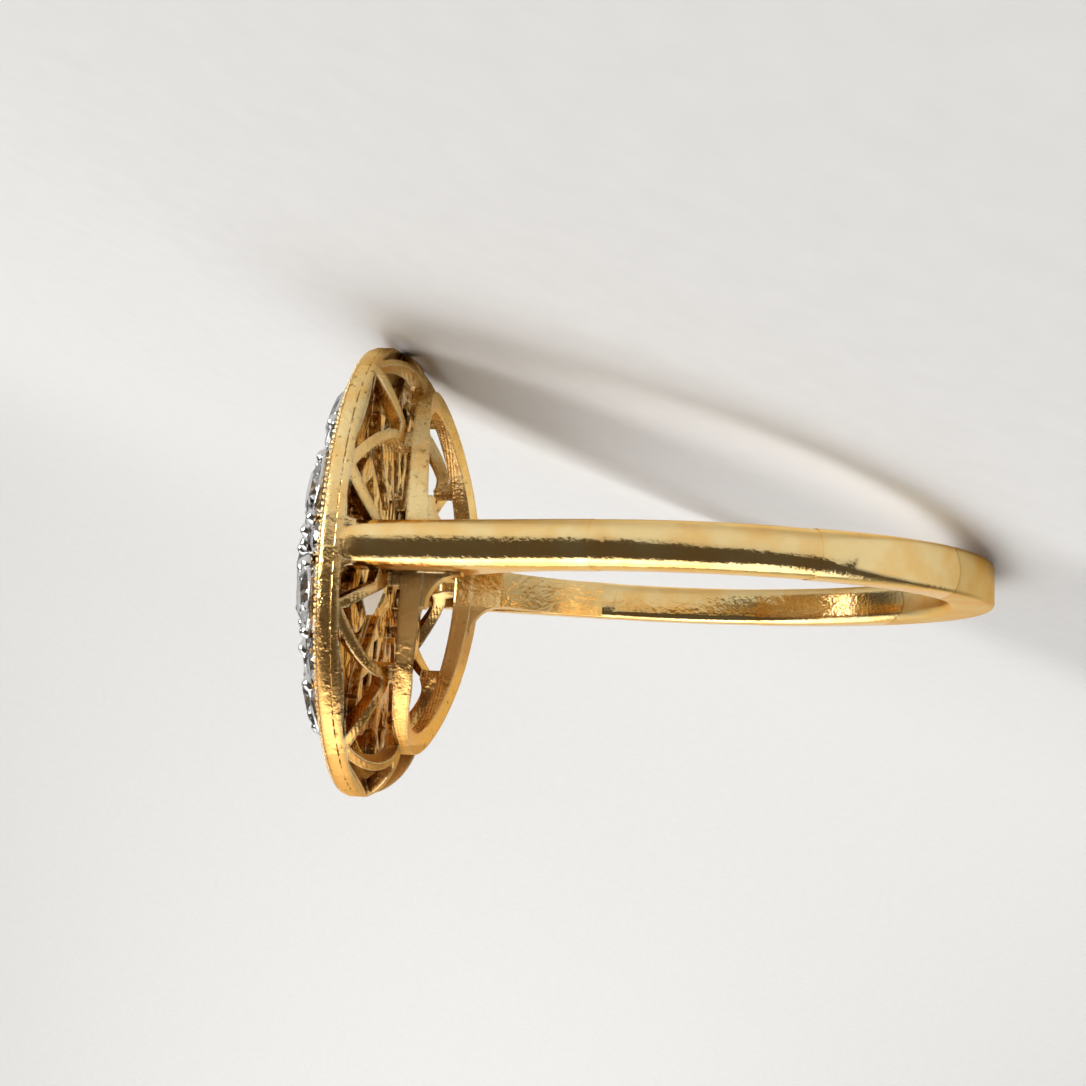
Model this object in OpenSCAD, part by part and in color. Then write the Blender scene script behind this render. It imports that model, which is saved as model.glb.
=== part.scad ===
// Daisy ring in yellow gold: a round flower head on an arched gallery, lying on its side.
// The ring is drawn upright first: the finger lies along Y, and the flower faces +Z with its
// rim's front edge at Z = 0. on_table() then lays it on its side, head towards -Y.

/* [Shank] */
// Diameter of the hole for the finger
finger_d = 17.4; // [16.4:0.1:18.4]
// Thickness of the shank
shank_t = 1.5; // [1.3:0.05:1.7]
// Width of the shank, along the finger
shank_w = 1.4; // [1.2:0.05:1.6]
// Thickness of the arms where they reach the head
arm_t = 1.15; // [1:0.05:1.3]

/* [Head] */
// Diameter over the round rim
head_d = 15; // [14.8:0.1:15.4]
// Height of the rim's outer band
rim_h = 0.6; // [0.5:0.05:0.7]
// Width of the rim, seen from the front
rim_t = 0.6; // [0.5:0.05:0.7]
// Outer diameter of the lower rail
rail_d = 12.2; // [12:0.1:12.4]
// Width of the lower rail, seen from behind
rail_t = 0.7; // [0.6:0.05:0.8]
// Height of the lower rail where it is slimmest
rail_h = 0.42; // [0.35:0.01:0.5]
// Depth of the head, from the rim's front edge to the rail's slim part
head_depth = 2; // [1.9:0.05:2.1]
// How much lower the rail lies at the arms
rail_dip = 0.9; // [0.8:0.05:1]

/* [Gallery] */
// Number of pointed arches round the head, and of petals
arches = 10; // [10:1:10]
// Width of an arch's struts
strut_w = 0.32; // [0.28:0.01:0.36]
// Thickness of the gallery's wall
wall_t = 0.45; // [0.4:0.01:0.5]

/* [Flower] */
// Height of the flower's middle over the rim
flower_rise = 1.7; // [1.6:0.05:1.8]
// Height of the petals' tips over the rim
tip_rise = 0.1; // [0.05:0.05:0.2]
// Diameter of the centre stone
centre_stone = 3; // [2.8:0.05:3.1]
// Diameter of the small stones between the petals' tips
edge_stone = 0.9; // [0.8:0.05:0.9]
// Clear gap between a stone or setting and its neighbour
gap = 0.05; // [0.04:0.01:0.06]

/* [Hidden] */
eps = 0.01;
head_r = head_d / 2;
finger_r = finger_d / 2;
shank_r = finger_r + shank_t;
finger_z = -head_depth - 0.1 - finger_r;
// Stones of a petal: distance from the middle, diameter
PETAL_STONES = [[2.85, 0.95], [3.98, 1.15], [5.65, 1.95]];
petal_turn = 360 / arches;
// Small turns of the hand-set arches: number of the arch, degrees
ARCH_TURN = [[0, 0.5], [8, 1.8], [9, 3.2]];
// The same for a foot: number, degrees of the strut before it and of the strut after it
FOOT_TURN = [[0, -7.5, 0], [1, 0.4, 0.4], [2, 1.4, 1.4], [8, -2.4, -2.4], [9, -1.2, -1.2]];

// The rail's two edges follow a saddle, a little off the middle
rail_dip_top = 0.65;
saddle_shift = 0.35;

// The gallery's wall bulges out below the rim, then drops to the rail as a neck
rail_r = rail_d / 2;
bulge_r = 1.45;
bulge_x = head_r - bulge_r - 0.05;
bulge_z = -0.3;
wall_top_angle = asin((rim_h - 0.05 + bulge_z) / bulge_r);
neck_r = rail_r - 0.04;
wall_low_angle = acos((neck_r - bulge_x) / bulge_r);
bulge_run = bulge_r * (wall_low_angle - wall_top_angle) * PI / 180;

// Arms leave the round shank where its tangent reaches the rim's rear edge
arm_reach = norm([head_r, -rim_h - finger_z]);
arm_angle = atan2(-rim_h - finger_z, head_r) - acos(shank_r / arm_reach);
arm_run = sqrt(pow(arm_reach, 2) - pow(shank_r, 2));

// The plate behind the flower, and the height of the centre stone's girdle
plate_top = -0.2;
plate_t = 0.32;
centre_girdle = flower_rise + 0.1;

// The shank is half-round from the arms to flat_from degrees past its widest point. Then it grows
// flat, with crisp edges: a round body that sits off the finger's axis trims it less and less.
inner_edge = 0.3;
round_edge = 0.62;
flat_from = 20;
round_shift = 0.94;
round_r = norm([shank_r - round_shift * sin(flat_from), round_shift * cos(flat_from)]);

// How the ring lies: on the rim's rear edge and on the rounded edge of the shank's back
rim_edge = 0.08;
shank_edge = 0.15;
lie_run = [head_r - shank_w / 2 + shank_edge, rim_edge - rim_h - finger_z + shank_r - shank_edge];
lean = acos(shank_edge / norm(lie_run)) - atan2(lie_run[1], lie_run[0]);

// Two struts stand side by side on the rail: half of the angle between them
foot_spread = strut_w / 2 / rail_r * 180 / PI;

function look_up(table, key, column) = [for (row = table) if (row[0] == key) row[column]];
function turn_of(table, key, column) =
    let (found = look_up(table, key, column)) len(found) > 0 ? found[0] : 0;
function arch_at(i) = (i + 0.5) * petal_turn + turn_of(ARCH_TURN, (i + arches) % arches, 1);
// A foot takes the strut from the arch before it, column 1, and from the arch after it, column 2
function foot_at(i, column) =
    i * petal_turn + (2 * column - 3) * foot_spread
        + turn_of(FOOT_TURN, (i + arches) % arches, column);

// The wall's outer radius and height, a distance s below the rim, measured along the wall
function wall_point(s) =
    s < bulge_run
    ? let (a = wall_top_angle + s / bulge_r * 180 / PI)
        [bulge_x + bulge_r * cos(a), bulge_z - bulge_r * sin(a)]
    : [neck_r, bulge_z - bulge_r * sin(wall_low_angle) - (s - bulge_run)];
function rail_top(a) =
    -head_depth + rail_h - rail_dip_top * pow(cos(a) - saddle_shift / rail_r, 2);
function strut_run(foot) =
    bulge_run + max(0, bulge_z - bulge_r * sin(wall_low_angle) - rail_top(foot));

// A strut runs from an arch's point to a foot on the rail: share t of the way down, angle, slope
function strut_angle(top, foot, t) = top + (foot - top) * t * (2 - t);
function strut_half(top, foot, t) =
    let (r = wall_point(t * strut_run(foot))[0])
    let (slope = (foot - top) * PI / 180 * r * 2 * max(0, 1 - t) / strut_run(foot))
    strut_w / 2 * sqrt(1 + slope * slope) / r * 180 / PI;

// A point of the wall, seen along the slanted line that a window is cut by
window_slant = 45;
window_sink = 0.5;
function window_point(a, s) =
    let (p = wall_point(s))
    [p[0] * sin(a), p[0] * cos(a) * sin(window_slant) + p[1] * cos(window_slant)];

// The share of the way down at which a window between two struts closes
function first_open(top, foot, t) =
    t > 0.5 || abs(strut_angle(top, foot, t) - top) > strut_half(top, foot, t)
    ? t : first_open(top, foot, t + 0.01);
function last_open(top, foot, t) =
    t < 0.5 || abs(foot - strut_angle(top, foot, t)) > strut_half(top, foot, t)
    ? t : last_open(top, foot, t - 0.01);

function ramp(from, to, steps) = [for (i = [0:steps]) from + (to - from) * i / steps];

// Section of the shank: x points outwards, the inner face is nearly flat
function corner(x, y, r, from) =
    [for (a = [0:15:90]) [x + r * cos(from + a), y + r * sin(from + a)]];
function section(t, w, inner, outer) = concat(
    corner(t / 2 - outer, w / 2 - outer, outer, 0),
    corner(inner - t / 2, w / 2 - inner, inner, 90),
    corner(inner - t / 2, inner - w / 2, inner, 180),
    corner(t / 2 - outer, outer - w / 2, outer, 270));

module on_table() {
    rest = head_r * cos(lean) + (rim_h - rim_edge) * sin(lean);
    translate([0, (front_reach - back_reach) / 2, rest])
        rotate([90 - lean, 0, 0])
            rotate(180)
                children();
}

// Turns the XY plane into the ring's own plane, across the finger
module ring_plane() {
    rotate([90, 0, 0])
        translate([0, finger_z, 0])
            children();
}

module shank_band() {
    round_t = 2 * shank_t;
    overlap = 0.5;
    slimmer = 0.02;
    middle = finger_r + shank_t / 2;
    ring_plane()
        intersection() {
            rotate_extrude(angle = 180 - 2 * flat_from, start = 180 + flat_from, $fn = 120)
                translate([middle, 0])
                    polygon(section(shank_t, shank_w, inner_edge, shank_edge));
            translate([0, -round_shift])
                rotate_extrude($fn = 120)
                    translate([round_r - round_t / 2, 0])
                        polygon(section(round_t, shank_w + 0.02, 0.01, round_edge));
        }
    ring_plane()
        for (start = [180 - arm_angle, -flat_from - overlap])
            rotate_extrude(angle = arm_angle + flat_from + overlap, start = start, $fn = 120)
                translate([middle, 0])
                    polygon(section(shank_t - slimmer, shank_w - slimmer, inner_edge, round_edge));
}

module arm() {
    thin = shank_t - arm_t;
    ring_plane()
        rotate(arm_angle)
            translate([finger_r + shank_t / 2, 0, 0])
                rotate([-90, 0, 0])
                    difference() {
                        translate([0, 0, -eps])
                            linear_extrude(arm_run + 0.2)
                                polygon(section(shank_t, shank_w, inner_edge, round_edge));
                        translate([-shank_t / 2, 0, 0])
                            rotate([0, atan(thin / arm_run), 0])
                                translate([-2, -2, 0])
                                    cube([2, 4, arm_run + 2]);
                    }
}

// Fills the corner between an arm and the rail, and flares out along the rail's lower edge
module gusset() {
    flare = 1;
    rail_low = -head_depth - rail_dip;
    top = rail_low + 0.3;
    inner = rail_r - rail_t + 0.02;
    start = arm_angle + 4;
    bite = 0.5;
    difference() {
        ring_plane()
            linear_extrude(shank_w - 0.1, center = true)
                polygon([
                    (finger_r + bite) * [cos(start), sin(start)],
                    [head_r - 0.1, top - finger_z],
                    [inner, top - finger_z],
                    [inner, sqrt(pow(finger_r, 2) - pow(inner, 2)) - bite],
                    (finger_r - bite) * [cos(start), sin(start)]]);
        ring_plane()
            cylinder(r = finger_r, h = 6, center = true, $fn = 180);
    }
    difference() {
        translate([0, 0, rail_low - flare])
            rotate_extrude(angle = 40, start = -20, $fn = 180)
                translate([inner, 0])
                    square([rail_t - 0.04, flare + 0.2]);
        for (side = [-1, 1])
            translate([0, side * (shank_w / 2 + flare), rail_low - flare + 0.05])
                rotate([0, 90, 0])
                    cylinder(r = flare, h = head_r, $fn = 60);
        for (side = [0, 1])
            mirror([0, side, 0])
                translate([0, shank_w / 2 + flare, rail_low - 2 * flare])
                    cube([head_r, 3, 3]);
    }
}

// Solder fills the corners between the arms and the rim's rear edge
module solder() {
    r = 0.35;
    overlap = 0.03;
    depth = 0.8;
    for (side = [-1, 1])
        intersection() {
            translate([head_r - depth, 0, -rim_h])
                rotate([90, 0, 90])
                    linear_extrude(depth)
                        difference() {
                            translate([side * (shank_w / 2 + r / 2 - 0.1), 0.05 - r / 2])
                                square([r + 0.2, r + 0.1], center = true);
                            translate([side * (shank_w / 2 + r - overlap), overlap - r])
                                circle(r = r, $fn = 48);
                        }
            translate([0, 0, -3])
                cylinder(r = head_r - 0.06, h = 3, $fn = 180);
        }
}

module rim_band() {
    rotate_extrude($fn = 180)
        polygon([
            [head_r - rim_t, -rim_h + 0.05], [head_r - 0.15, -rim_h - 0.03],
            [head_r - 0.04, -rim_h], [head_r, rim_edge - rim_h], [head_r, -0.08],
            [head_r - 0.05, 0], [head_r - rim_t + 0.05, 0], [head_r - rim_t, -0.05]]);
}

// The gallery's plain wall, from under the rim to inside the rail
module wall_shell() {
    rotate_extrude($fn = 180) {
        intersection() {
            translate([bulge_x, bulge_z])
                difference() {
                    circle(r = bulge_r, $fn = 120);
                    circle(r = bulge_r - wall_t, $fn = 120);
                }
            translate([rail_r - wall_t, -3])
                square([3, 3 + bulge_z]);
        }
        translate([neck_r - wall_t, -head_depth - 0.5])
            square([wall_t, 0.9]);
    }
}

module window(middle, outline) {
    slant = window_slant;
    rotate(middle)
        multmatrix([
            [0, sin(slant), cos(slant), 0],
            [1, 0, 0, 0],
            [0, cos(slant), -sin(slant), 0],
            [0, 0, 0, 1]])
            translate([0, 0, 4.5])
                linear_extrude(3)
                    polygon(outline);
}

// The pointed opening under an arch, between its two struts and down into the rail
module arch_window(i) {
    top = arch_at(i);
    left = foot_at(i, 2);
    right = foot_at(i + 1, 1);
    start_l = first_open(top, left, 0.02);
    start_r = first_open(top, right, 0.02);
    window(top, concat(
        [for (t = ramp(start_l, 1, 9))
            window_point(strut_angle(top, left, t) + strut_half(top, left, t) - top,
                t * strut_run(left))],
        [for (side = [[left, 1], [right, -1]])
            window_point(side[0] + side[1] * strut_half(top, side[0], 1) - top,
                strut_run(side[0]) + window_sink)],
        [for (t = ramp(1, start_r, 9))
            window_point(strut_angle(top, right, t) - strut_half(top, right, t) - top,
                t * strut_run(right))]));
}

// The opening between two arches, wide at the rim and pointed at the rail
module spandrel_window(i) {
    before = arch_at(i - 1);
    after = arch_at(i);
    foot_b = foot_at(i, 1);
    foot_a = foot_at(i, 2);
    middle = i * petal_turn;
    window(middle, concat(
        [for (t = ramp(-0.04, last_open(before, foot_b, 0.98), 9))
            window_point(strut_angle(before, foot_b, t) + strut_half(before, foot_b, t) - middle,
                t * strut_run(foot_b))],
        [for (t = ramp(last_open(after, foot_a, 0.98), -0.04, 9))
            window_point(strut_angle(after, foot_a, t) - strut_half(after, foot_a, t) - middle,
                t * strut_run(foot_a))]));
}

module gallery() {
    difference() {
        wall_shell();
        for (i = [0:arches - 1]) {
            arch_window(i);
            spandrel_window(i);
        }
    }
}

// The cylinder along the finger whose top follows a saddle edge of the rail
function saddle_r(dip) = (pow(rail_r, 2) + dip * dip) / (2 * dip);

module saddle(top, dip) {
    r = saddle_r(dip);
    translate([saddle_shift, 0, top - r])
        rotate([90, 0, 0])
            cylinder(r = r, h = 20, center = true, $fn = 360);
}

module rail_tube() {
    rotate_extrude($fn = 180)
        translate([rail_r - rail_t, -head_depth - rail_dip - 0.2])
            square([rail_t, rail_dip + rail_h + 0.4]);
}

module rail_and_gallery() {
    difference() {
        union() {
            gallery();
            intersection() {
                rail_tube();
                saddle(-head_depth + rail_h, rail_dip_top);
            }
        }
        saddle(-head_depth, rail_dip);
    }
}

// The flower's front is a shallow dome; tip_r is where a petal's tip lies
tip_r = 7;
dome_sag = flower_rise - tip_rise;
dome_r = (pow(tip_r, 2) + pow(dome_sag, 2)) / (2 * dome_sag);
function dome_z(r) = flower_rise - dome_r + sqrt(pow(dome_r, 2) - pow(r, 2));
function dome_slope(r) = asin(r / dome_r);

module on_dome(r) {
    translate([r, 0, dome_z(r)])
        rotate([0, dome_slope(r), 0])
            children();
}

// A round brilliant, its girdle at height 0: shares of its diameter
table_share = 0.29;
star_share = 0.41;
girdle_share = 0.015;
crown_slope = 0.68;
pavilion_share = 0.43;
function crown_z(x) = girdle_share + (0.5 - x) * crown_slope;
function pavilion_z(x) = -pavilion_share + x / 0.5 * (pavilion_share - girdle_share);
function ring_points(r, z, count, turn) =
    [for (i = [0:count - 1]) [r * cos(turn + i * 360 / count), r * sin(turn + i * 360 / count), z]];

module brilliant(d) {
    points = concat(
        ring_points(table_share, crown_z(table_share), 8, 0),
        ring_points(star_share, crown_z(star_share * cos(22.5)), 8, 22.5),
        ring_points(0.5, girdle_share, 16, 0),
        ring_points(0.5, -girdle_share, 16, 0),
        ring_points(0.2, pavilion_z(0.2 * cos(22.5)), 8, 22.5),
        [[0, 0, -pavilion_share]]);
    scale(d)
        hull()
            polyhedron(points, [for (i = [1:len(points) - 2]) [0, i, i + 1]]);
}

// The hollow that a brilliant needs: its own shape, made round and larger by the gap
module seat(d, drop) {
    r = d / 2 + gap;
    hole = d * 0.3;
    rise = d * crown_slope * (0.5 - table_share);
    rotate_extrude($fn = 72)
        polygon([
            [0, -drop], [hole, -drop], [hole, -d * pavilion_share * 0.46 - gap],
            [r, -d * girdle_share - gap], [r, d * girdle_share + gap],
            [d * table_share + gap, d * girdle_share + rise + gap],
            [d * table_share + gap, 2], [0, 2]]);
}

// Drop-shaped outline of a petal, from the middle to its rounded tip, round its end stones
inner_margin = 0.17;
outer_margin = 0.17;

module petal_outline(grow) {
    inner = PETAL_STONES[0];
    outer = PETAL_STONES[2];
    ri = inner[1] / 2 + inner_margin + grow;
    ro = outer[1] / 2 + outer_margin + grow;
    taper = asin((ro - ri) / (outer[0] - inner[0]));
    polygon(concat(
        [for (a = ramp(-90 - taper, 90 + taper, 16)) [outer[0] + ro * cos(a), ro * sin(a)]],
        [for (a = ramp(90 + taper, 270 - taper, 10)) [inner[0] + ri * cos(a), ri * sin(a)]]));
}

// Where the hole behind a stone meets the plate: its axis leans with the dome
function hole_at(row) = row[0] - (dome_z(row[0]) - plate_top) * tan(dome_slope(row[0]));

// A leaf-shaped slit of the plate, between two petals
slit = [[2.6, 0], [3.7, 0.16], [5.2, 0.36], [5.4, 0], [5.2, -0.36], [3.7, -0.16]];
// Sizes of the holes behind the stones, as shares of a stone, in the plate and behind it
plate_hole = 0.33;
back_hole = 0.4;

// Behind a petal's two larger stones the frame opens in a kite
function kite(row) =
    let (c = hole_at(row), d = row[1])
    [[c - 0.46 * d, 0], [c, 0.38 * d], [c + 0.44 * d, 0], [c, -0.38 * d]];

module plate() {
    translate([0, 0, plate_top - plate_t])
        linear_extrude(plate_t)
            difference() {
                circle(r = head_r - rim_t + 0.15, $fn = 180);
                circle(r = 0.95, $fn = 40);
                for (i = [0:arches - 1])
                    rotate(arch_at(i)) {
                        for (row = PETAL_STONES)
                            translate([hole_at(row), 0])
                                circle(r = row[1] * plate_hole, $fn = 40);
                        rotate(petal_turn / 2)
                            polygon(slit);
                    }
            }
}

// Behind the plate each petal has a raised frame
module petal_backs() {
    relief = 0.3;
    translate([0, 0, plate_top - plate_t - relief])
        linear_extrude(relief + 0.06)
            for (i = [0:arches - 1])
                rotate(arch_at(i))
                    difference() {
                        petal_outline(-0.1);
                        translate([hole_at(PETAL_STONES[0]), 0])
                            circle(r = PETAL_STONES[0][1] * back_hole, $fn = 40);
                        for (k = [1, 2])
                            polygon(kite(PETAL_STONES[k]));
                    }
}

// An eight-sided boss behind the centre stone, with a hole through it
module centre_back() {
    boss_h = 0.25;
    translate([0, 0, plate_top - plate_t - boss_h])
        difference() {
            cylinder(r1 = 1.25, r2 = 1.85, h = boss_h + 0.1, $fn = 8);
            translate([0, 0, -1])
                cylinder(r = 0.85, h = 3, $fn = 40);
        }
}

// Short tubes between the petals' tips, each holding a small stone
edge_r = 6.4;
tube_wall = 0.1;
tube_run = 2;
function edge_at(i) = (arch_at(i - 1) + arch_at(i)) / 2;

module edge_tubes() {
    for (i = [0:arches - 1])
        rotate(edge_at(i))
            difference() {
                intersection() {
                    on_dome(edge_r)
                        translate([0, 0, -tube_run])
                            cylinder(r = edge_stone / 2 + tube_wall, h = tube_run + 0.02, $fn = 40);
                    translate([0, 0, plate_top - 0.1])
                        cylinder(r = head_r, h = 3, $fn = 40);
                }
                on_dome(edge_r)
                    seat(edge_stone, 0.6);
            }
}

module gold() {
    color("goldenrod") {
        shank_band();
        arm();
        mirror([1, 0, 0]) arm();
        gusset();
        mirror([1, 0, 0]) gusset();
        solder();
        mirror([1, 0, 0]) solder();
        rim_band();
        rail_and_gallery();
        plate();
        petal_backs();
        centre_back();
        edge_tubes();
    }
}

// A claw with a round head, a little above the stone's girdle
claw_head = 0.07;
claw_swell = 0.02;

module claw(height, r) {
    translate([0, 0, -height])
        cylinder(r = r, h = height + claw_head, $fn = 24);
    translate([0, 0, claw_head])
        sphere(r = r + claw_swell, $fn = 24);
}

// Each of a petal's stones has a claw at either side, close to its widest point
petal_claw_r = 0.19;
petal_claw_h = 0.3;
petal_claw_turn = 78;
petal_claw_out = 0.08;

// A thin collar round each of a petal's stones, its lip just over the stone's edge
collar_w = 0.13;
collar_h = 0.1;
collar_lip = 0.03;

module collar(d) {
    depth = 0.3;
    translate([0, 0, -depth])
        difference() {
            cylinder(r = d / 2 + collar_w, h = depth + collar_h, $fn = 60);
            cylinder(r = d / 2 - collar_lip, h = 2 * depth + collar_h, $fn = 60);
        }
}

module petal() {
    floor_z = plate_top + gap;
    color("silver")
        difference() {
            union() {
                intersection() {
                    translate([0, 0, floor_z])
                        linear_extrude(3)
                            petal_outline(0);
                    translate([0, 0, flower_rise - dome_r])
                        sphere(r = dome_r, $fn = 180);
                }
                for (row = PETAL_STONES, side = [-1, 1])
                    on_dome(row[0])
                        rotate(side * petal_claw_turn)
                            translate([row[1] / 2 + petal_claw_out, 0, 0])
                                claw(petal_claw_h, petal_claw_r);
                for (row = PETAL_STONES)
                    on_dome(row[0])
                        collar(row[1]);
            }
            for (row = PETAL_STONES)
                on_dome(row[0])
                    seat(row[1], 3);
        }
}

module centre_cup() {
    foot_z = plate_top + gap;
    foot_r = 1.2;
    claw_r = 0.22;
    claw_h = 0.5;
    r = centre_stone / 2 + 0.2;
    color("silver")
        difference() {
            union() {
                translate([0, 0, foot_z])
                    cylinder(r1 = foot_r, r2 = r, h = centre_girdle - foot_z, $fn = 120);
                for (i = [0:5])
                    rotate(i * 60 + 15)
                        translate([r - 0.05, 0, centre_girdle])
                            claw(claw_h, claw_r);
            }
            translate([0, 0, centre_girdle])
                seat(centre_stone, 4);
        }
}

module centre_brilliant() {
    color("white")
        translate([0, 0, centre_girdle])
            brilliant(centre_stone);
}

module petal_stone(k) {
    row = PETAL_STONES[k % 3];
    color("white")
        rotate(arch_at(floor(k / 3)))
            on_dome(row[0])
                brilliant(row[1]);
}

module edge_stones() {
    color("white")
        for (i = [0:arches - 1])
            rotate(edge_at(i))
                on_dome(edge_r)
                    brilliant(edge_stone);
}

// How far the lying ring reaches from its own middle: its flower to the front, its shank to the
// back. A point of a petal is given from the middle of one of its stones.
function reach(row, turn, along, across, up) =
    let (slope = dome_slope(row[0]))
    let (x = row[0] + along * cos(slope) + up * sin(slope))
    let (z = dome_z(row[0]) - along * sin(slope) + up * cos(slope))
    sin(lean) * (x * sin(turn) + across * cos(turn)) + cos(lean) * z;
function claw_reach(row, turn, side) =
    let (out = row[1] / 2 + petal_claw_out)
    reach(row, turn, out * cos(petal_claw_turn), side * out * sin(petal_claw_turn), claw_head)
        + petal_claw_r + claw_swell;
function table_reach(row, turn, corner) =
    let (out = row[1] * table_share)
    reach(row, turn, out * cos(corner), out * sin(corner), row[1] * crown_z(table_share));
front_reach = max([for (i = [0:arches - 1], row = PETAL_STONES)
    max(claw_reach(row, arch_at(i), -1), claw_reach(row, arch_at(i), 1),
        max([for (corner = [0:45:315]) table_reach(row, arch_at(i), corner)]))]);
back_reach = sin(lean) * (shank_w / 2 - shank_edge)
    + cos(lean) * (shank_r - finger_z - shank_edge) + shank_edge;

on_table() gold();  // gold_mount
on_table() centre_cup();  // centre_setting
on_table() centre_brilliant();  // centre_stone
for (i = [1:arches])
    on_table() rotate(arch_at(i - 1)) petal();
for (k = [1:3 * arches])
    on_table() petal_stone(k - 1);
on_table() edge_stones();
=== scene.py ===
# %% [markdown]
# # A daisy ring lying on its side
# The metal and the stones of this ring arrive as finished solids, made elsewhere and already in
# their true places. This lesson dresses them: it adds the small trim that a goldsmith puts on
# last, gives each metal and stone its finish, and sets the ring on a pale table under soft light.
# Nothing that is loaded here is moved, so every part still fits its neighbour.

# %% Load the ring
import math

import bmesh
import bpy
from mathutils import Matrix, Vector


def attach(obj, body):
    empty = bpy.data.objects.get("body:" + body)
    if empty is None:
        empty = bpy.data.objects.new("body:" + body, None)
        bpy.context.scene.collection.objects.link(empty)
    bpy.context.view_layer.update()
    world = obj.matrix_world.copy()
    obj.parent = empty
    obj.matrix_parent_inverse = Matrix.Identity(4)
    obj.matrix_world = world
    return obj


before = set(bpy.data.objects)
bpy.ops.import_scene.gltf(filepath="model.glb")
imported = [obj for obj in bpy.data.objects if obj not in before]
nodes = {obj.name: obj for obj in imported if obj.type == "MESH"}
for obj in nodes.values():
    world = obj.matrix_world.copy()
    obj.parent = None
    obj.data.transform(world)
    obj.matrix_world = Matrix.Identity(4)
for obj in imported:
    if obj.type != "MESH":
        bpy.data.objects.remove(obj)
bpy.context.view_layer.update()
print("ring parts loaded:", len(nodes))

# %% [markdown]
# ## The goldsmith's own directions
# The ring lies tilted on the table, so its parts are awkward to measure from the table. A
# goldsmith measures from the flower: how far out from its middle, and how far in front of the rim
# or behind it. We could turn every number by hand, but one matrix does it for us. It takes
# millimetres measured from the flower and gives metres on the table.

# %% From the flower to the table
LEAN = math.radians(18.47345)
TO_FRONT = -8.670033
TO_TOP = 7.278299
TO_METRES = 0.001

lean_sin = math.sin(LEAN)
lean_cos = math.cos(LEAN)
lying = Matrix.Scale(TO_METRES, 4) @ Matrix((
    (-1, 0, 0, 0),
    (0, -lean_sin, -lean_cos, TO_FRONT),
    (0, -lean_cos, lean_sin, TO_TOP),
    (0, 0, 0, 1)))
print("middle of the rim on the table:", [round(v, 5) for v in lying.translation])

# %% [markdown]
# ## The camera
# The photograph looks along the finger's side of the ring, a little from behind and from close by,
# with the ring left of the middle. A camera could be placed by eye, but here its place was worked
# out from points on the ring, so it is written as three directions and a position. The sensor
# shift puts the ring left of the middle without turning the camera.

# %% Camera
LOOK = (0.97979, -0.05170, -0.19325)
RIGHT = (-0.02034, 0.93526, -0.35337)
STANDS_AT = (-0.048989, 0.0021679, 0.0090093)

camera_data = bpy.data.cameras.new("camera")
camera_data.sensor_width = 36
camera_data.lens = 47.76
camera_data.shift_x = -0.1262
camera_data.shift_y = -0.0948
camera_data.clip_start = 0.001
camera_data.clip_end = 5

camera = bpy.data.objects.new("camera", camera_data)
bpy.context.scene.collection.objects.link(camera)
look = Vector(LOOK).normalized()
right = Vector(RIGHT).normalized()
up = right.cross(look)
turn = Matrix((right, up, -look)).transposed()
camera.matrix_world = Matrix.Translation(STANDS_AT) @ turn.to_4x4()
bpy.context.scene.camera = camera
print("camera is", round(camera.location.length * 1000), "mm from the ring's middle")

# %% [markdown]
# ## The table and the backdrop
# Small jewellery is photographed on a sheet of card that curves up behind it, so no edge shows.
# A sweep like this is one line pulled along: flat first, round the bend with a spin, then straight
# up. Starting from a single edge and extruding it keeps the sheet in one piece.

# %% A curved sheet of pale card
def pull(bm, edges, move):
    pulled = bmesh.ops.extrude_edge_only(bm, edges=edges)["geom"]
    corners = [v for v in pulled if isinstance(v, bmesh.types.BMVert)]
    bmesh.ops.translate(bm, verts=corners, vec=move)
    return [e for e in pulled if isinstance(e, bmesh.types.BMEdge)]


FRONT_EDGE = -1.2
BEND_START = 0.10
BEND_R = 0.35
WALL_HEIGHT = 0.6
HALF_WIDTH = 1.2

sheet = bmesh.new()
ends = [sheet.verts.new((FRONT_EDGE, y, 0)) for y in (-HALF_WIDTH, HALF_WIDTH)]
front_edge = [sheet.edges.new(ends)]
bend_edge = pull(sheet, front_edge, (BEND_START - FRONT_EDGE, 0, 0))
bent = bmesh.ops.spin(
    sheet, geom=bend_edge, cent=(BEND_START, 0, BEND_R), axis=(0, -1, 0),
    angle=math.pi / 2, steps=24)["geom_last"]
top_edge = [e for e in bent if isinstance(e, bmesh.types.BMEdge)]
pull(sheet, top_edge, (0, 0, WALL_HEIGHT))
bmesh.ops.remove_doubles(sheet, verts=sheet.verts, dist=1e-6)
for face in sheet.faces:
    face.smooth = True

card_mesh = bpy.data.meshes.new("card")
sheet.to_mesh(card_mesh)
sheet.free()
card = bpy.data.objects.new("card", card_mesh)
bpy.context.scene.collection.objects.link(card)
print("card:", len(card_mesh.polygons), "faces")

# %% [markdown]
# ## A shorthand for materials
# A material is a small network of nodes. Each finish below needs a dozen of them, so one helper
# makes a node, sets its plain values and joins the sockets it is given. The other starts a
# material and hands back its network and its shader.

# %% Helpers for nodes
def add(tree, kind, inputs=None, **settings):
    made = tree.nodes.new(kind)
    for name, value in settings.items():
        setattr(made, name, value)
    for name, value in (inputs or {}).items():
        if isinstance(value, bpy.types.NodeSocket):
            tree.links.new(value, made.inputs[name])
        else:
            made.inputs[name].default_value = value
    return made


def start_material(name):
    material = bpy.data.materials.new(name)
    material.use_nodes = True
    tree = material.node_tree
    shader = tree.nodes["Principled BSDF"]
    return material, tree, shader


print("helpers ready")

# %% [markdown]
# ## Shorthands for patterns
# Most of a finish is arithmetic on patterns: where this one is strong and that one is allowed,
# there is a pit. Written out, every sum takes a node and its links, which hides the idea. So each
# of these functions adds a node or two and is named for what it does. A Mix node carries sockets
# for several kinds of value side by side, so its colours are picked by number.

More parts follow.
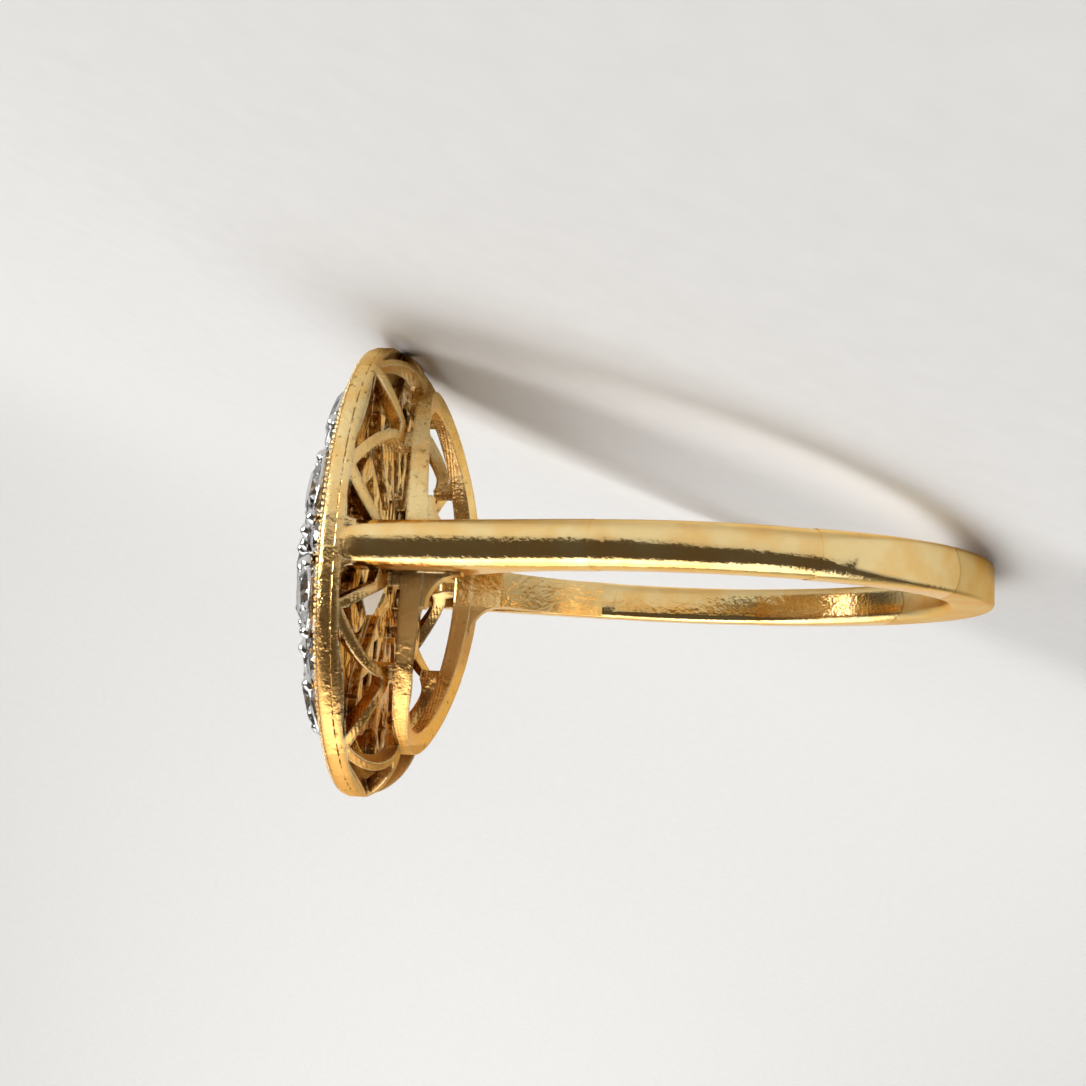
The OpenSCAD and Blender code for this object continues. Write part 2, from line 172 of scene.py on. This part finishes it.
# %% Helpers for patterns
MM = 0.001
COLOUR_A = 6
COLOUR_B = 7
COLOUR_OUT = 2


def combine(tree, operation, *values):
    inputs = dict(enumerate(values))
    return add(tree, "ShaderNodeMath", inputs, operation=operation).outputs[0]


def product(tree, first, *others):
    for other in others:
        first = combine(tree, "MULTIPLY", first, other)
    return first


def step(tree, value, low, high):
    made = add(tree, "ShaderNodeMapRange", {"Value": value, "From Min": low, "From Max": high})
    return made.outputs["Result"]


def noise(tree, vector, scale, detail=2.0):
    made = add(tree, "ShaderNodeTexNoise", {"Vector": vector, "Scale": scale, "Detail": detail})
    return made.outputs["Fac"]


def blend(tree, factor, first, second):
    inputs = {"Factor": factor, COLOUR_A: first, COLOUR_B: second}
    return add(tree, "ShaderNodeMix", inputs, data_type="RGBA").outputs[COLOUR_OUT]


def bump(tree, pattern, strength, depth_mm, over=None, sunk=False):
    inputs = {"Height": pattern, "Strength": strength, "Distance": depth_mm * MM}
    if over:
        inputs["Normal"] = over
    return add(tree, "ShaderNodeBump", inputs, invert=sunk).outputs[0]


print("pattern helpers ready")

# %% [markdown]
# ## Card finish
# Plain card is matt and almost even. One flat colour would look like an empty background, and a
# picture of real card would have to be stored and stretched over a metre. A fine noise pattern
# needs neither: it blends two shades that are almost the same, which is the grain of the paper.

# %% Card
DARK_GRAIN = (0.74, 0.735, 0.725, 1)
PALE_GRAIN = (0.80, 0.795, 0.785, 1)

card_finish, tree, shader = start_material("pale_card")
place = add(tree, "ShaderNodeTexCoord").outputs["Object"]
grain = noise(tree, place, 900, 3)
shade = blend(tree, grain, DARK_GRAIN, PALE_GRAIN)
tree.links.new(shade, shader.inputs["Base Color"])
shader.inputs["Roughness"].default_value = 0.75
card_mesh.materials.append(card_finish)
print("card finish:", len(tree.nodes), "nodes")

# %% [markdown]
# ## Where on the ring a finish lies
# Cast gold is not the same all over: the shank is buffed bright, while the rim and the gallery
# keep a satin skin with pits that no wheel can reach. The patterns therefore need to know where
# they are. A Mapping node turns the object's own coordinates into the goldsmith's directions, in
# millimetres, once for every material.

# %% Coordinates measured from the flower
def flower_coordinates(tree):
    place = add(tree, "ShaderNodeTexCoord").outputs["Object"]
    back = lying.inverted()
    mapping = add(tree, "ShaderNodeMapping", {
        "Vector": place,
        "Location": back.translation,
        "Rotation": back.to_3x3().normalized().to_euler(),
        "Scale": (1 / MM, 1 / MM, 1 / MM)})
    return mapping.outputs["Vector"]


print("the rim's middle is the origin of every pattern")

# %% [markdown]
# ## Yellow gold: which part is which
# Polished gold is nearly a mirror, so its look comes from how each part was treated. The shank was
# buffed, the head kept the satin skin of the casting, the end of the flat back is worn, and
# nobody could reach the backs of the petals. We could paint these parts as separate pieces, but
# soldered metal has no borders. A mask suits it better: a number that is 1 on its own part of the
# ring and fades to 0 outside it, made by comparing heights and distances. Each step below gives
# the place, in millimetres, where its mask is 0 and the one where it has become 1.

# %% Masks on the gold
gold_finish, tree, shader = start_material("gold_finish")
spot = flower_coordinates(tree)
axes = add(tree, "ShaderNodeSeparateXYZ", {"Vector": spot})
along_y = axes.outputs["Y"]
height = axes.outputs["Z"]
x_squared = combine(tree, "POWER", axes.outputs["X"], 2.0)
y_squared = combine(tree, "POWER", along_y, 2.0)
from_middle = combine(tree, "SQRT", combine(tree, "ADD", x_squared, y_squared))

in_head = product(tree, step(tree, height, -4.4, -2.8), step(tree, from_middle, 7.9, 7.6))
off_arm = step(tree, combine(tree, "ABSOLUTE", along_y), 0.60, 0.76)
rim_side = step(tree, height, -1.1, -0.6)
satin = product(tree, in_head, combine(tree, "MAXIMUM", off_arm, rim_side))
# painted warm reflection: a redder tone on the head's upper side, away from the table
warm_reflection_side = product(tree, in_head, step(tree, along_y, 1.0, -3.5))

in_gallery = product(
    tree, step(tree, height, -2.2, -2.1), step(tree, height, -0.6, -0.7), off_arm)
petal_backs = product(
    tree, step(tree, height, -1.3, -1.2), step(tree, height, -0.1, -0.2),
    step(tree, from_middle, 6.3, 6.2))
burnished = product(
    tree, step(tree, height, -1.9, -2.2), step(tree, height, -3.6, -3.2),
    step(tree, along_y, -0.6, -0.9), step(tree, along_y, -3.4, -2.4))
has_edges = combine(
    tree, "MAXIMUM", step(tree, height, -3.6, -3.3), step(tree, height, -14.7, -15.0))
print("masks take", len(tree.nodes), "nodes")

# %% [markdown]
# ## Yellow gold: marks of making and wear
# Two marks have a place of their own. Round the rim runs the thin line where it was soldered to
# the gallery, and it wanders and breaks off like any hand-made joint. On the shank's flat back a
# curved line divides the polished part from the worn end. Both are drawn by distance: the mark is
# darkest where the distance to its line is nothing.

# %% Seam and worn back
SEAM_HEIGHT = 0.36
SEAM_WOBBLE = 0.05
BACK_LINE = 18.76
BACK_CURVE = 0.5

wobble = product(tree, noise(tree, spot, 2.5), SEAM_WOBBLE)
off_seam = combine(tree, "ADD", combine(tree, "ADD", height, SEAM_HEIGHT), wobble)
seam = product(
    tree, step(tree, combine(tree, "ABSOLUTE", off_seam), 0.03, 0.0),
    step(tree, from_middle, 7.40, 7.45), step(tree, noise(tree, spot, 4.5, 3.0), 0.42, 0.55))

back_place = combine(tree, "SUBTRACT", height, product(tree, y_squared, BACK_CURVE))
worn_back = step(tree, back_place, -18.72, -18.80)
off_line = combine(tree, "ABSOLUTE", combine(tree, "ADD", back_place, BACK_LINE))
back_line = step(tree, off_line, 0.05, 0.0)
print("marks: seam, back line, worn back")

# %% [markdown]
# ## Yellow gold: rounded edges, rubbed and highlit
# The loaded solids have knife-sharp edges, and a goldsmith's edges never are. Rounding thousands
# of them in the mesh would be heavy, so a Bevel node rounds only the way light sees them. The
# wider one makes the thin struts look like drawn wire. The narrower one finds the edges: its
# normal differs from the plain face only close to an edge. There the gold is smoother, where
# fingers rub, and lighter in colour, which is a painted highlight as well as rubbing.

# %% Edges
WIDE_MM = 0.15
NARROW_MM = 0.06
VECTOR_A = 4
VECTOR_B = 5
VECTOR_OUT = 1

wide_round = add(tree, "ShaderNodeBevel", {"Radius": WIDE_MM * MM}, samples=4).outputs[0]
narrow_round = add(tree, "ShaderNodeBevel", {"Radius": NARROW_MM * MM}, samples=3).outputs[0]
plain_face = add(tree, "ShaderNodeNewGeometry").outputs["Normal"]
likeness = add(
    tree, "ShaderNodeVectorMath", {0: narrow_round, 1: plain_face}, operation="DOT_PRODUCT")
edge = product(tree, has_edges, step(tree, likeness.outputs["Value"], 0.995, 0.93))

rounded = add(tree, "ShaderNodeMix", {
    "Factor": has_edges, VECTOR_A: plain_face, VECTOR_B: wide_round},
    data_type="VECTOR").outputs[VECTOR_OUT]
print("edges look rounded by", WIDE_MM, "mm")

# %% [markdown]
# ## Yellow gold: how smooth it is
# Roughness decides how sharp the mirror is. Buffed gold has almost none. The satin skin, the worn
# back and the burnished foot of the gallery each add their own, and a fine noise keeps every part
# from being even. Rubbed edges and the bright backs of the petals are then made smoother again.

# %% Roughness
BUFFED = 0.10
SATIN_ADDS = 0.16
WEAR_ADDS = 0.20
BURNISHING_ADDS = 0.40
SKIN_VARIES = 0.12
RUBBING_TAKES = -0.6
PETAL_BACKS_TAKE = -0.55

skin = noise(tree, spot, 9.0, 4.0)
either_way = combine(tree, "SUBTRACT", skin, 0.5)
roughness = combine(tree, "MULTIPLY_ADD", satin, SATIN_ADDS, BUFFED)
roughness = combine(tree, "MULTIPLY_ADD", worn_back, WEAR_ADDS, roughness)
roughness = combine(tree, "MULTIPLY_ADD", burnished, BURNISHING_ADDS, roughness)
roughness = combine(tree, "MULTIPLY_ADD", either_way, SKIN_VARIES, roughness)

left_by_rubbing = combine(tree, "MULTIPLY_ADD", edge, RUBBING_TAKES, 1.0)
left_on_backs = combine(tree, "MULTIPLY_ADD", petal_backs, PETAL_BACKS_TAKE, 1.0)
roughness = product(tree, roughness, left_by_rubbing, left_on_backs)
tree.links.new(roughness, shader.inputs["Roughness"])
print("roughness: buffed", BUFFED, "and satin", round(BUFFED + SATIN_ADDS, 2))

# %% [markdown]
# ## Yellow gold: colour
# The metal's colour is the colour of its mirror. Two close tones lie in soft patches, and a redder
# one on the head's upper side is a painted warm reflection. Deep corners are darkened to brown,
# painted shade with some grime, which an Ambient Occlusion node finds, because it measures how
# much of the surroundings a point can see. The seam, the back's line and small spots are darker,
# and edges are lighter, partly from rubbing and partly as a painted highlight.

# %% Colour
PALE_GOLD = (1.0, 0.78, 0.38, 1)
RICH_GOLD = (0.97, 0.65, 0.25, 1)
WARM_REFLECTION_GOLD = (0.88, 0.50, 0.16, 1)
GRIME_AND_SHADE = (0.26, 0.10, 0.015, 1)
DIRT = (0.22, 0.10, 0.02, 1)
RUBBED_AND_HIGHLIT_GOLD = (1.0, 0.88, 0.56, 1)
CORNER_MM = 0.9
SPOTS_DARKEN = 0.75
BACK_LINE_DARKENS = 0.5
WEAR_DARKENS = 0.18

patch = step(tree, noise(tree, spot, 0.8, 3.0), 0.42, 0.62)
tone = blend(tree, patch, PALE_GOLD, RICH_GOLD)
# painted warm reflection on the head's upper side
tone = blend(tree, warm_reflection_side, tone, WARM_REFLECTION_GOLD)

# painted shade with some grime: corners that see little of the room are darkened to brown
open_sky = add(tree, "ShaderNodeAmbientOcclusion", {"Distance": CORNER_MM * MM}, samples=3)
shade_and_grime = product(tree, has_edges, step(tree, open_sky.outputs["AO"], 0.85, 0.3))
tone = blend(tree, shade_and_grime, tone, GRIME_AND_SHADE)

spots = product(tree, step(tree, noise(tree, spot, 3.4, 4.0), 0.63, 0.72), satin)
dark_marks = combine(tree, "MAXIMUM", seam, product(tree, spots, SPOTS_DARKEN))
line_mark = product(tree, back_line, BACK_LINE_DARKENS)
dark_marks = combine(tree, "MAXIMUM", dark_marks, line_mark)
dark_marks = combine(tree, "MAXIMUM", dark_marks, product(tree, worn_back, WEAR_DARKENS))
tone = blend(tree, dark_marks, tone, DIRT)
# edges lighter: a painted highlight as well as rubbing
tone = blend(tree, edge, tone, RUBBED_AND_HIGHLIT_GOLD)

tree.links.new(tone, shader.inputs["Base Color"])
shader.inputs["Metallic"].default_value = 1.0
shader.inputs["Specular Tint"].default_value = (0.95, 0.70, 0.36, 1)
print("gold tones blended")

# %% [markdown]
# ## Yellow gold: small unevenness
# Last comes what the mirror is bent by, from the widest to the finest: waves left by the polishing
# wheel, ripples, the skin of the casting, pits, and scratches along the shank. The gallery keeps
# the thin layers it was built up in, the backs of the petals are rugged, and the seam is sunk.
# Each Bump node takes the normal of the one before it, so all of them add up. The depths are in
# millimetres. Real displacement would need millions of faces, and it isn't needed, because even
# the deepest mark is only about as deep as a hair or two are wide.

# %% Unevenness
waves = noise(tree, spot, 1.1)
ripples = noise(tree, spot, 5.0)
hammered = product(tree, skin, combine(tree, "MULTIPLY_ADD", satin, 1.2, 0.9))

cells = add(tree, "ShaderNodeTexVoronoi", {"Vector": spot, "Scale": 7.0})
pitted = step(tree, noise(tree, spot, 1.7, 3.0), 0.5, 0.62)
pits = product(tree, step(tree, cells.outputs["Distance"], 0.0, 0.28), pitted, satin)

drawn_out = add(tree, "ShaderNodeMapping", {"Vector": spot, "Scale": (0.5, 26.0, 26.0)})
scratches = noise(tree, drawn_out.outputs["Vector"], 1.0, 3.0)
layers = add(tree, "ShaderNodeTexWave", {
    "Vector": spot, "Scale": 2.9, "Distortion": 0.8}, bands_direction="Z")
ribs = product(tree, layers.outputs["Fac"], in_gallery)
grains = add(tree, "ShaderNodeTexVoronoi", {
    "Vector": spot, "Scale": 2.2, "Smoothness": 0.3}, feature="SMOOTH_F1")
rugged = product(tree, grains.outputs["Distance"], petal_backs)

surface = bump(tree, waves, 0.5, 0.03, rounded)
surface = bump(tree, ripples, 0.6, 0.02, surface)
surface = bump(tree, hammered, 0.5, 0.01, surface)
surface = bump(tree, pits, 0.8, 0.02, surface)
surface = bump(tree, scratches, 0.4, 0.005, surface)
surface = bump(tree, ribs, 0.35, 0.01, surface)
surface = bump(tree, rugged, 1.0, 0.13, surface)
surface = bump(tree, seam, 0.9, 0.03, surface, sunk=True)
tree.links.new(surface, shader.inputs["Normal"])
print("yellow gold:", len(tree.nodes), "nodes")

# %% [markdown]
# ## White gold
# The petals and the centre cup are white metal, bright where the setter's tool pushed it over the
# stones and slightly wavy elsewhere. Wide dents carry two greys, a painted light and a painted
# shade, so that the metal shows light and dark even where the room is plain, and fine tool cuts
# vary both the polish and the surface.

# %% White gold
PAINTED_LIGHT_GREY = (0.74, 0.735, 0.73, 1)
PAINTED_SHADE_GREY = (0.50, 0.49, 0.48, 1)

white_finish, tree, shader = start_material("white_finish")
spot = flower_coordinates(tree)
dents = noise(tree, spot, 3.5, 3.0)
cuts = noise(tree, spot, 22.0, 3.0)
# the dents' two greys are painted light and painted shade
tree.links.new(blend(tree, dents, PAINTED_LIGHT_GREY, PAINTED_SHADE_GREY), shader.inputs["Base Color"])
tree.links.new(combine(tree, "MULTIPLY_ADD", cuts, 0.2, 0.04), shader.inputs["Roughness"])
shader.inputs["Metallic"].default_value = 1.0
dented = bump(tree, dents, 0.6, 0.04)
tree.links.new(bump(tree, cuts, 0.4, 0.006, dented), shader.inputs["Normal"])
print("white gold:", len(tree.nodes), "nodes")

# %% [markdown]
# ## Bright white metal, a painted highlight
# One small facet behind the petals catches far more light than the metal round it. Its near-white
# colour is a painted highlight, a brighter copy of the white metal, and it is left slightly rough,
# so it gathers light from a wide part of the room and never goes dark. One plain colour and one
# roughness are enough for it, with a trace of grain.

# %% Bright white metal
painted_bright_white_finish, tree, shader = start_material("painted_bright_white_finish")
spot = flower_coordinates(tree)
# near-white colour: a painted highlight, brighter than the white gold
shader.inputs["Base Color"].default_value = (0.97, 0.96, 0.94, 1)
shader.inputs["Metallic"].default_value = 1.0
shader.inputs["Roughness"].default_value = 0.45
grained = bump(tree, noise(tree, spot, 14.0, 3.0), 0.3, 0.006)
tree.links.new(grained, shader.inputs["Normal"])
print("bright white metal:", len(tree.nodes), "nodes")

# %% [markdown]
# ## Clear stones
# A cut stone is clear, hard and bends light strongly, so it sends back flashes of the room. Flat
# white facets could fake that from one side only. The facets are in the solid already, so plain
# glass with a high index does it from every side. A trace of grease and dust dulls it here and
# there, because a stone that is clear all over looks like a hole.

# %% Clear stone
stone_finish, tree, shader = start_material("stone_finish")
spot = flower_coordinates(tree)
film = noise(tree, spot, 4.0, 3.0)
dulled = product(tree, step(tree, film, 0.5, 0.8), 0.08)
tree.links.new(dulled, shader.inputs["Roughness"])
shader.inputs["Base Color"].default_value = (0.97, 0.985, 1.0, 1)
shader.inputs["Transmission Weight"].default_value = 1.0
shader.inputs["IOR"].default_value = 2.2
print("clear stone:", len(tree.nodes), "nodes")

# %% [markdown]
# ## Smooth metal from loose triangles
# The parts arrive as loose triangles, which would show as flat facets on round metal. Their own
# mesh must stay as it is, so modifiers do the work when the ring is drawn. A Weld modifier joins
# the triangles, and a small geometry network drops the flat normals they came with and shades
# them smooth wherever two faces meet at a shallow angle, so real corners stay crisp.

# %% Smooth shading across shallow angles
SHALLOW = math.radians(32)

smoother = bpy.data.node_groups.new("smooth_metal", "GeometryNodeTree")
smoother.interface.new_socket("Geometry", in_out="INPUT", socket_type="NodeSocketGeometry")
smoother.interface.new_socket("Geometry", in_out="OUTPUT", socket_type="NodeSocketGeometry")
given = add(smoother, "NodeGroupInput")
bend = add(smoother, "GeometryNodeInputMeshEdgeAngle").outputs["Unsigned Angle"]
steep = add(smoother, "FunctionNodeCompare", {"A": bend, "B": SHALLOW}, operation="GREATER_THAN")
plain_normals = add(smoother, "GeometryNodeRemoveAttribute", {
    "Geometry": given.outputs[0], "Name": "custom_normal"})
faces = add(smoother, "GeometryNodeSetShadeSmooth", {
    "Geometry": plain_normals.outputs[0], "Shade Smooth": True}, domain="FACE")
edges = add(smoother, "GeometryNodeSetShadeSmooth", {
    "Geometry": faces.outputs[0], "Selection": steep.outputs[0], "Shade Smooth": False},
    domain="EDGE")
add(smoother, "NodeGroupOutput", {0: edges.outputs[0]})


def shade_curves(part):
    weld = part.modifiers.new("weld", "WELD")
    weld.merge_threshold = 1e-7
    part.modifiers.new("smooth", "NODES").node_group = smoother


print("smooth below", round(math.degrees(SHALLOW)), "degrees")

# %% [markdown]
# ## Finishes on the loaded parts
# Each part's name says what it is made of, so a short test on the name picks its finish, and no
# list of forty names has to be kept. The metal parts are shaded smooth as well. The stones are
# left alone, because their facets are real.

# %% Dress the parts
for name, part in nodes.items():
    if "stone" in name:
        finish = stone_finish
    elif "setting" in name:
        finish = white_finish
    else:
        finish = gold_finish
    part.data.materials.clear()
    part.data.materials.append(finish)
    if finish is not stone_finish:
        shade_curves(part)
print("dressed:", ", ".join(sorted(nodes)[:4]), "and", len(nodes) - 4, "more")

# %% [markdown]
# ## Small trim
# The beads, the rolled collars and the claws' lumps are too small and too many for the solids, so
# they are made here. Each is modelled in the goldsmith's directions, where its sizes are easy to
# read. This helper takes a finished mesh to the table in one go, turns its faces outwards, gives
# it its metal and lets it ride on the ring. So the place is in the mesh, and the object itself
# stays at the origin.

# %% Helper that finishes a piece
def finish_piece(bm, name, finish, smooth=True):
    for face in bm.faces:
        face.smooth = smooth
    bmesh.ops.transform(bm, matrix=lying, verts=bm.verts)
    bmesh.ops.recalc_face_normals(bm, faces=bm.faces)
    mesh = bpy.data.meshes.new(name)
    bm.to_mesh(mesh)
    bm.free()
    mesh.materials.append(finish)
    piece = bpy.data.objects.new(name, mesh)
    bpy.context.scene.collection.objects.link(piece)
    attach(piece, "root")
    print(name + ":", len(mesh.polygons), "faces")


# %% [markdown]
# ## The beaded edge
# Along the rim's front edge runs a row of tiny beads, rolled into the metal with a toothed wheel.
# A bead is five pixels wide in the picture, so a ball of a few dozen faces is plenty. We make
# each where it belongs with one turn about the flower's middle.

# %% Beads along the rim
BEAD_R = 0.09
BEAD_CIRCLE = 7.36
BEAD_COUNT = 250
BEAD_HEIGHT = 0.04

beads = bmesh.new()
for k in range(BEAD_COUNT):
    where = Matrix.Rotation(k * math.tau / BEAD_COUNT, 4, "Z")
    where = where @ Matrix.Translation((BEAD_CIRCLE, 0, BEAD_HEIGHT))
    bmesh.ops.create_uvsphere(beads, u_segments=7, v_segments=5, radius=BEAD_R, matrix=where)
finish_piece(beads, "rim_beads", gold_finish)

# %% [markdown]
# ## Where a stone sits on the flower
# The flower's front is a shallow dome, and each stone stands square to it, so a stone far from the
# middle leans outwards. Small trim round a stone has to lean the same way. One function gives the
# place and the lean of any stone, and the trim is then modelled as if the stone lay flat. The
# petals were set by hand, so a few of them have a small turn of their own, in degrees.

# %% Places on the dome
DOME_R = 16.1125
DOME_TOP = 1.7
PETALS = 10
PETAL_SHIFT = {0: 0.5, 8: 1.8, 9: 3.2}
STONES = [(2.85, 0.95), (3.98, 1.15), (5.65, 1.95)]


def on_dome(petal, out):
    angle = math.radians((petal + 0.5) * 360 / PETALS + PETAL_SHIFT.get(petal, 0))
    tilt = math.asin(out / DOME_R)
    rise = DOME_TOP - DOME_R * (1 - math.cos(tilt))
    around = Matrix.Rotation(angle, 4, "Z")
    return around @ Matrix.Translation((out, 0, rise)) @ Matrix.Rotation(tilt, 4, "Y")


print("stones on petals:", PETALS * len(STONES))

# %% [markdown]
# ## Metal rolled over the stones
# A setter burnishes the thin collar round a stone until its edge rolls over and shines. A lathe
# would leave it even, but this one is soft and round, so a small circle spun about the stone's
# own axis gives the rolled edge. The spin is closed by merging, and each roll is one clean ring.
# Corners that have been taken to their place are tagged, so that the next roll leaves them alone.

# %% Rolled edges of the collars
ROLL_R = 0.095
ROLL_OUT = 0.05
ROLL_HEIGHT = 0.06

rolls = bmesh.new()
for petal in range(PETALS):
    for out, size in STONES:
        centre = on_dome(petal, out)
        section = bmesh.ops.create_circle(
            rolls, segments=8, radius=ROLL_R,
            matrix=Matrix.Translation((size / 2 + ROLL_OUT, 0, ROLL_HEIGHT))
            @ Matrix.Rotation(math.pi / 2, 4, "X"))["verts"]
        rim = list({e for v in section for e in v.link_edges})
        bmesh.ops.spin(
            rolls, geom=section + rim, cent=(0, 0, 0), axis=(0, 0, 1), angle=math.tau, steps=24,
            use_merge=True)
        new_corners = [v for v in rolls.verts if not v.tag]
        bmesh.ops.transform(rolls, matrix=centre, verts=new_corners)
        for corner in new_corners:
            corner.tag = True
finish_piece(rolls, "collar_rolls", white_finish)

# %% [markdown]
# ## Claw tips
# The claws are straight pins with a ball on top. On the real ring each was pushed down until it
# spread into a soft lump against the stone. A flattened ball, a little larger than the claw's
# own, makes that lump. A ball made of triangles is even on all sides, which suits a hand-pushed
# shape.

# %% Lumps on the claws
CLAW_TURN = math.radians(78)
CLAW_OUT = 0.06
CLAW_LOW = 0.03
HALF_SIZES = (0.27, 0.30, 0.24, 1.0)

lumps = bmesh.new()
flat = Matrix.Diagonal(HALF_SIZES)
for petal in range(PETALS):
    for out, size in STONES:
        for side in (-1, 1):
            place = on_dome(petal, out) @ Matrix.Rotation(side * CLAW_TURN, 4, "Z")
            place = place @ Matrix.Translation((size / 2 + CLAW_OUT, 0, CLAW_LOW))
            bmesh.ops.create_icosphere(lumps, subdivisions=2, radius=1.0, matrix=place @ flat)
finish_piece(lumps, "claw_tips", white_finish)

# %% [markdown]
# ## A thin frame behind a petal
# Behind one petal a flat kite of white metal lies in a thin yellow frame. The frame starts as a
# single flat face with six corners. Extruding that face makes a low block, insetting the block's
# back face leaves a border of even width, and sinking the middle gives the white metal its bed.

# %% The yellow frame
KITE = [(5.08, -1.42), (4.27, -1.88), (3.18, -1.78), (2.35, -1.29), (1.21, -0.45), (3.26, -0.69)]
FRAME_FRONT = -0.80
FRAME_DEPTH = 0.06
FRAME_WIDTH = 0.09
BED_DEPTH = 0.03

frame_block = bmesh.new()
corners = [frame_block.verts.new((x, y, FRAME_FRONT)) for x, y in KITE]
raised = bmesh.ops.extrude_face_region(frame_block, geom=[frame_block.faces.new(corners)])["geom"]
risen = [v for v in raised if isinstance(v, bmesh.types.BMVert)]
bmesh.ops.translate(frame_block, verts=risen, vec=(0, 0, -FRAME_DEPTH))
back_face = [f for f in raised if isinstance(f, bmesh.types.BMFace)]
bmesh.ops.inset_region(frame_block, faces=back_face, thickness=FRAME_WIDTH, depth=0)
bmesh.ops.translate(frame_block, verts=back_face[0].verts, vec=(0, 0, BED_DEPTH))
finish_piece(frame_block, "petal_back_facet", gold_finish, smooth=False)

# %% [markdown]
# ## The white kite
# The white metal has the frame's outline, only smaller, so the same six corners are inset by the
# frame's width and a hair more. The border that the inset leaves is deleted, and the face that
# stays is extruded into a thin plate, which lies in the frame's bed.

# %% The white kite
KITE_FRONT = -0.825
KITE_DEPTH = 0.03
KITE_ROOM = 0.01

kite = bmesh.new()
middle = kite.faces.new([kite.verts.new((x, y, KITE_FRONT)) for x, y in KITE])
bmesh.ops.inset_region(kite, faces=[middle], thickness=FRAME_WIDTH + KITE_ROOM, depth=0)
border = [v for v in kite.verts if v not in middle.verts]
bmesh.ops.delete(kite, geom=border, context="VERTS")
raised = bmesh.ops.extrude_face_region(kite, geom=kite.faces[:])["geom"]
risen = [v for v in raised if isinstance(v, bmesh.types.BMVert)]
bmesh.ops.translate(kite, verts=risen, vec=(0, 0, -KITE_DEPTH))
finish_piece(kite, "petal_back_inlay", painted_bright_white_finish, smooth=False)

# %% [markdown]
# ## Light
# A wide soft lamp overhead lights the ring and the table evenly, one small lamp from the side puts
# a sharper glint on the curved metal, and a third lights the card where it curves up, so that it
# looks as pale as the table. The room itself stays dim and warm: polished metal only looks like
# metal when it has something dark to reflect beside something bright.

# %% Lamps and room
def lamp(name, place, aim, size, watts, spread=180):
    data = bpy.data.lights.new(name, "AREA")
    data.shape = "RECTANGLE"
    data.size = size[0]
    data.size_y = size[1]
    data.energy = watts
    data.spread = math.radians(spread)
    made = bpy.data.objects.new(name, data)
    made.location = place
    made.rotation_euler = (Vector(aim) - Vector(place)).to_track_quat("-Z", "Y").to_euler()
    bpy.context.scene.collection.objects.link(made)


lamp("soft_box", (0.13, -0.05, 0.45), (0.13, -0.0499, 0), (0.5, 0.9), 2.2)
lamp("side_window", (-0.10, -0.36, 0.10), (0, 0, 0.007), (0.14, 0.14), 0.12, 50)
lamp("card_light", (0.20, 0.0, 0.42), (0.45, 0.0, 0.10), (0.2, 0.6), 0.34, 120)

room = bpy.data.worlds.new("room")
room.use_nodes = True
room.node_tree.nodes["Background"].inputs["Color"].default_value = (1.0, 0.84, 0.66, 1)
room.node_tree.nodes["Background"].inputs["Strength"].default_value = 0.09
bpy.context.scene.world = room
bpy.context.scene.view_settings.view_transform = "Standard"

# %% [markdown]
# ## The end
# The ring now has its trim, its finishes, its table, its camera and its light. The trim has to
# stay within the loaded ring's own box.


print("ring dressed and lit")
